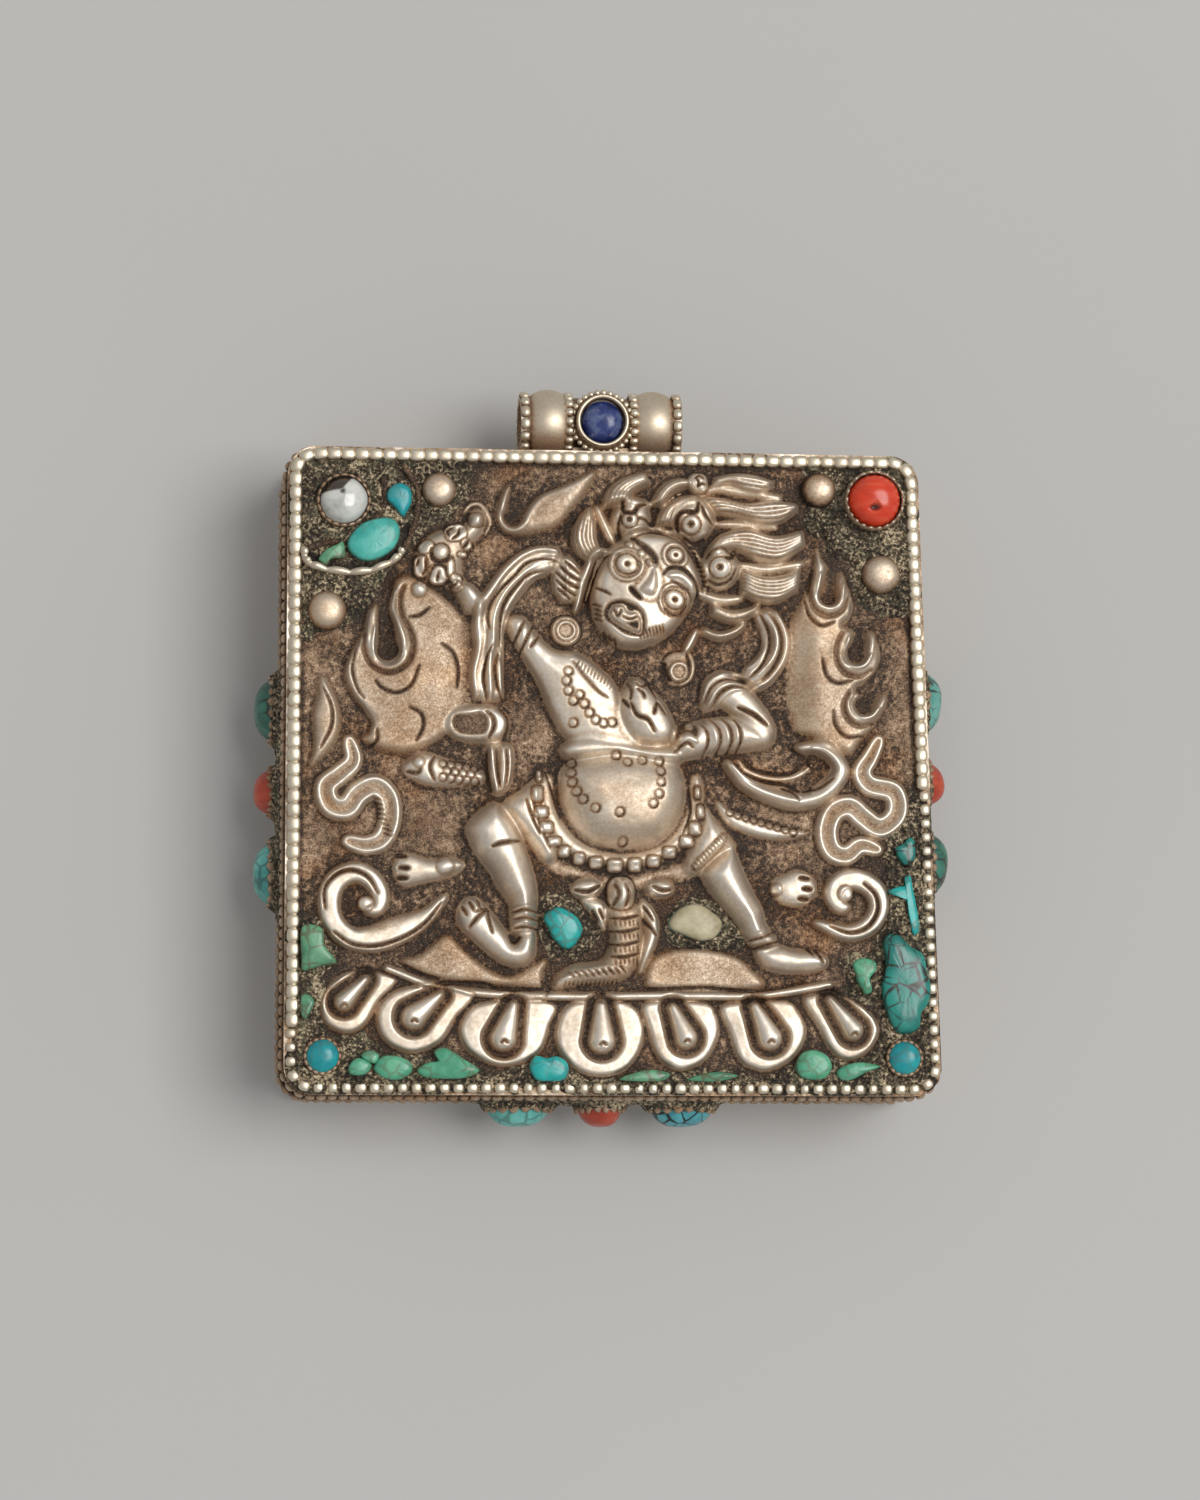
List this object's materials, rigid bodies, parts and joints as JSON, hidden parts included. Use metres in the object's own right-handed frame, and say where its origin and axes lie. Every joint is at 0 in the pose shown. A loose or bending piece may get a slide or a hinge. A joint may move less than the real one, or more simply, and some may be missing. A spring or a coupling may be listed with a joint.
{
  "type": "amulet box",
  "caption": "Shallow square silver amulet box with a lift-off front, a relief figure panel, bead-wire borders, set stones and a tube bail for a cord.",
  "frame": {"origin": "centre of the box outline on the outer face of the back plate", "axes": "+Z out of the figure panel, +Y towards the bail, +X to the right as the figure is seen"},
  "size_m": [0.0709, 0.0744, 0.0196],
  "materials": {
    "silver": "hand-worked silver sheet, bright on the highs, brown patina in the lows",
    "lac": "dark granular lac",
    "turquoise": "waxy polish with dark matrix",
    "coral": "polished",
    "pearl": "soft sheen",
    "lapis": "polished",
    "pale_stone": "satin"
  },
  "bodies": {
    "back_case": {"back_plate": "silver", "tray_wall": "silver"},
    "front_case": {"bail_bezel": "silver", "bail_end_rings": "silver", "bail_inner_rings": "silver", "bail_lapis": "lapis", "bail_saddle": "silver", "bail_tube": "silver", "bottom_bezels": "silver", "bottom_coral": "coral", "bottom_setting_plate": "silver", "bottom_turquoise_a": "turquoise", "bottom_turquoise_b": "turquoise", "case_wall": "silver", "centre_pale_stone": "pale_stone", "centre_turquoise": "turquoise", "coral_bezel": "silver", "coral_cabochon": "coral", "crescent_cell": "silver", "crescent_turquoise_lower": "turquoise", "crescent_turquoise_middle": "turquoise", "crescent_turquoise_upper": "turquoise", "face_bead_wire": "silver", "face_plate": "silver", "face_studs": "silver", "lac_bed": "lac", "left_bezels": "silver", "left_coral": "coral", "left_corner_bezel": "silver", "left_corner_turquoise": "turquoise", "left_setting_plate": "silver", "left_turquoise_a": "turquoise", "left_turquoise_b": "turquoise", "left_turquoise_lower": "turquoise", "left_turquoise_upper": "turquoise", "lower_turquoise_1": "turquoise", "lower_turquoise_2": "turquoise", "lower_turquoise_3": "turquoise", "lower_turquoise_4": "turquoise", "lower_turquoise_5": "turquoise", "lower_turquoise_6": "turquoise", "lower_turquoise_7": "turquoise", "pearl_bead": "pearl", "pearl_bezel": "silver", "right_bezels": "silver", "right_coral": "coral", "right_corner_bezel": "silver", "right_corner_turquoise": "turquoise", "right_setting_plate": "silver", "right_turquoise_a": "turquoise", "right_turquoise_b": "turquoise", "right_turquoise_branch": "turquoise", "right_turquoise_green": "turquoise", "right_turquoise_large": "turquoise", "right_turquoise_pale": "turquoise", "wall_front_bead_wire": "silver", "wall_rear_bead_wire": "silver"}
  },
  "joints": [
    {"name": "cover_lift", "type": "slide", "parent": "back_case", "child": "front_case", "axis": [0, 0, 1], "range_m": [0, 0.025]}
  ]
}
